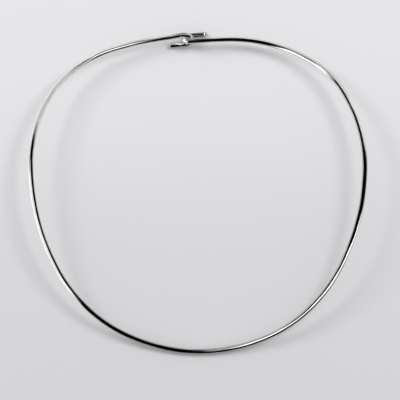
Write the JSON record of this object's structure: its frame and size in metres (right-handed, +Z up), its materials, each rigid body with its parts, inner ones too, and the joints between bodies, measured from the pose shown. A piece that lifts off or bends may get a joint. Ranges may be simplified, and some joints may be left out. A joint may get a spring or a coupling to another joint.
{
  "type": "rigid choker",
  "caption": "Rigid neck ring bent from a single round polished silver wire, its sides bowed upwards, closed behind by interlocking wire hooks.",
  "frame": {"origin": "middle of the ring's width and depth, on the surface that it lies on", "axes": "+X to the right across the ring, +Y from the front of the ring back to the hooks, +Z up from the surface"},
  "size_m": [0.1339, 0.1287, 0.0136],
  "materials": {
    "silver": "polished sterling silver, with fine draw and polishing lines"
  },
  "bodies": {
    "root": {"neck_wire": "silver"}
  },
  "joints": []
}
